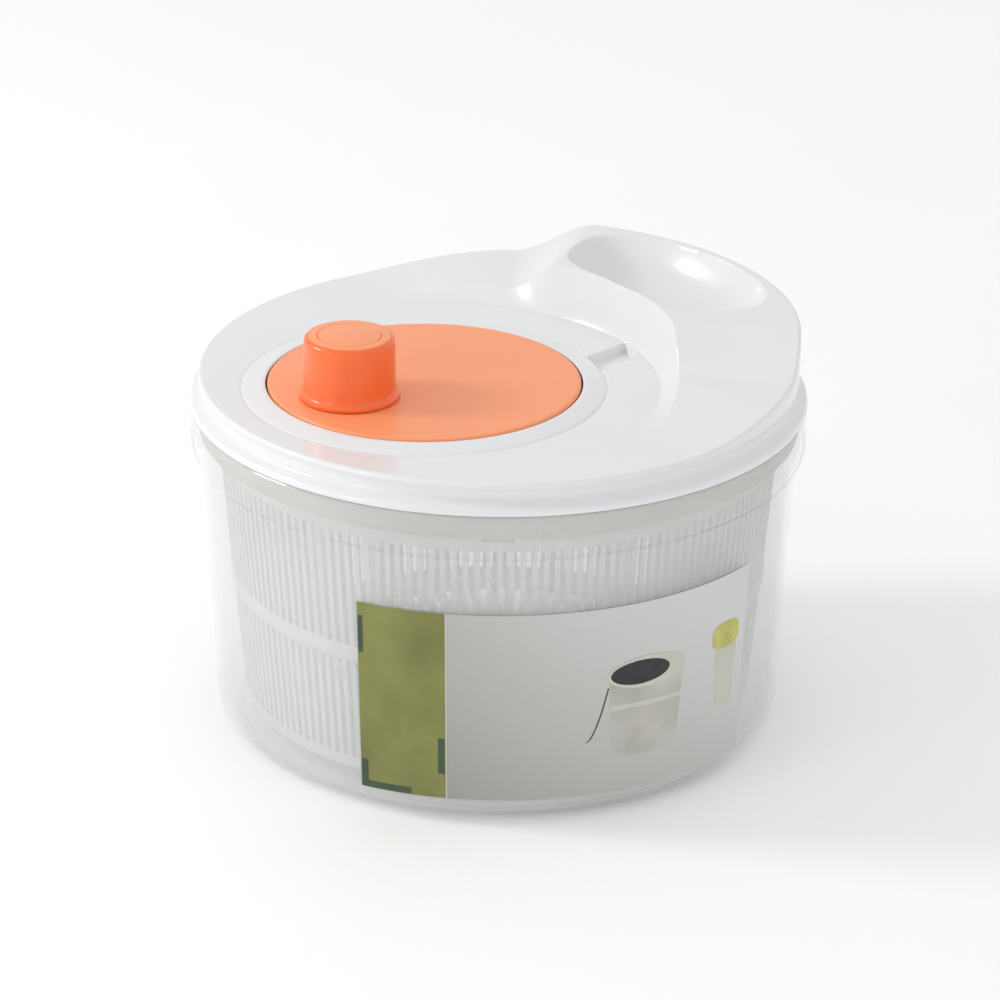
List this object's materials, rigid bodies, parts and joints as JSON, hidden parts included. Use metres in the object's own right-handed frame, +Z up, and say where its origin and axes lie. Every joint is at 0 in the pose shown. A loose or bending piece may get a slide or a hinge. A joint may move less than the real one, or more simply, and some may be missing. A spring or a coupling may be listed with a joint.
{
  "type": "salad spinner",
  "caption": "Salad spinner with a clear bowl, a slotted basket and a white lid whose round crank disc turns the basket through an internal ring gear.",
  "frame": {"origin": "centre of the bowl's base, on the surface it stands on", "axes": "+Z up along the basket's spin axis; the label faces -Y, and the crank disc is off centre towards -X -Y"},
  "size_m": [0.24, 0.24, 0.1705],
  "materials": {
    "clear": "gloss",
    "frosted": "satin",
    "white": "gloss",
    "orange": "satin",
    "acetal": "satin",
    "steel": "satin",
    "label": "satin"
  },
  "bodies": {
    "bowl": {"bowl": "clear", "label": "label", "pivot_pin": "steel"},
    "basket": {"basket": "frosted"},
    "lid": {"lid_shell": "white", "gear_tray": "white", "tray_screw_1": "steel", "tray_screw_2": "steel", "tray_screw_3": "steel", "tray_screw_4": "steel", "shaft_bush": "acetal"},
    "crank": {"crank_disc": "orange", "ring_gear": "acetal", "crank_axle": "steel", "crank_washer": "steel", "crank_clip": "steel", "knob_washer": "steel", "knob_screw": "steel"},
    "knob": {"knob": "orange", "knob_cap": "orange"},
    "drive": {"pinion": "acetal", "drive_shaft": "steel", "shaft_clip": "steel", "rotor_plate": "white", "rotor_screw": "steel"}
  },
  "joints": [
    {"name": "lid_lift", "type": "slide", "parent": "bowl", "child": "lid", "axis": [0, 0, 1], "range_m": [0, 0.12]},
    {"name": "crank_spin", "type": "hinge", "parent": "lid", "child": "crank", "pos_m": [-0.02867, -0.02007, 0.14], "axis": [0, 0, 1], "continuous": true},
    {"name": "knob_spin", "type": "hinge", "parent": "crank", "child": "knob", "pos_m": [-0.05696, -0.03707, 0.15], "axis": [0, 0, 1], "continuous": true},
    {"name": "drive_spin", "type": "hinge", "parent": "lid", "child": "drive", "pos_m": [0, 0, 0.13], "axis": [0, 0, 1], "continuous": true},
    {"name": "basket_spin", "type": "hinge", "parent": "bowl", "child": "basket", "pos_m": [0, 0, 0.02], "axis": [0, 0, 1], "continuous": true}
  ],
  "couplings": [
    {"joint": "drive_spin", "follows": "crank_spin", "ratio": 3.3333},
    {"joint": "basket_spin", "follows": "crank_spin", "ratio": 3.3333}
  ]
}
